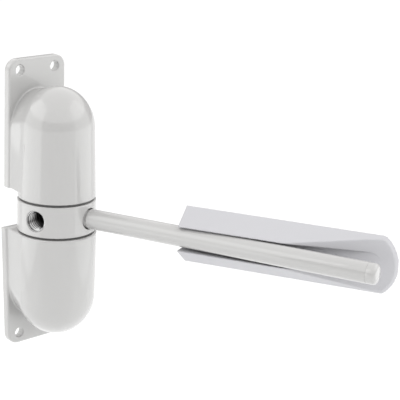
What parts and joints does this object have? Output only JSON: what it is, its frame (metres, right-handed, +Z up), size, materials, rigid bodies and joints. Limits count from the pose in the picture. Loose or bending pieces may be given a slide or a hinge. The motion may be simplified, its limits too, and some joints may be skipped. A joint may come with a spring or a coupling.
{
  "type": "door closer",
  "caption": "Spring door closer: domed spring casings with back plates above and below a turning ring, a round arm rod and a slotted slide guide for the door.",
  "frame": {"origin": "on the plane the plates are screwed to, on the part's centre line, level with the middle of the ring", "axes": "+Z up along the ring's axis, +Y into the wall or door frame, -Y the front, +X to the right seen from the front"},
  "size_m": [0.0912, 0.1828, 0.1482],
  "materials": {
    "white_paint": "gloss white enamel",
    "steel": "oiled plain steel",
    "brass": "turned bearing brass",
    "black_nylon": "plain moulded"
  },
  "bodies": {
    "body": {"upper_casing": "white_paint", "lower_casing": "white_paint", "upper_anchor": "steel", "lower_anchor": "steel", "upper_anchor_pin": "steel", "lower_anchor_pin": "steel", "upper_spring": "steel", "lower_spring": "steel"},
    "turning_arm": {"turning_ring": "white_paint", "spindle": "steel", "upper_bush": "brass", "lower_bush": "brass", "upper_circlip": "steel", "lower_circlip": "steel", "upper_thrust_washer": "black_nylon", "lower_thrust_washer": "black_nylon", "arm_rod": "white_paint", "arm_tip": "white_paint"},
    "guide": {"arm_guide": "white_paint"}
  },
  "joints": [
    {"name": "ring_turn", "type": "hinge", "parent": "body", "child": "turning_arm", "pos_m": [0, -0.0203, 0], "axis": [0, 0, 1], "range_deg": [-98, 71], "stiffness_Nm_per_rad": 1.5, "deforming": ["upper_spring", "lower_spring"]},
    {"name": "guide_slide", "type": "slide", "parent": "turning_arm", "child": "guide", "axis": [0.3206, -0.9472, 0], "range_m": [-0.008, 0.07]}
  ]
}
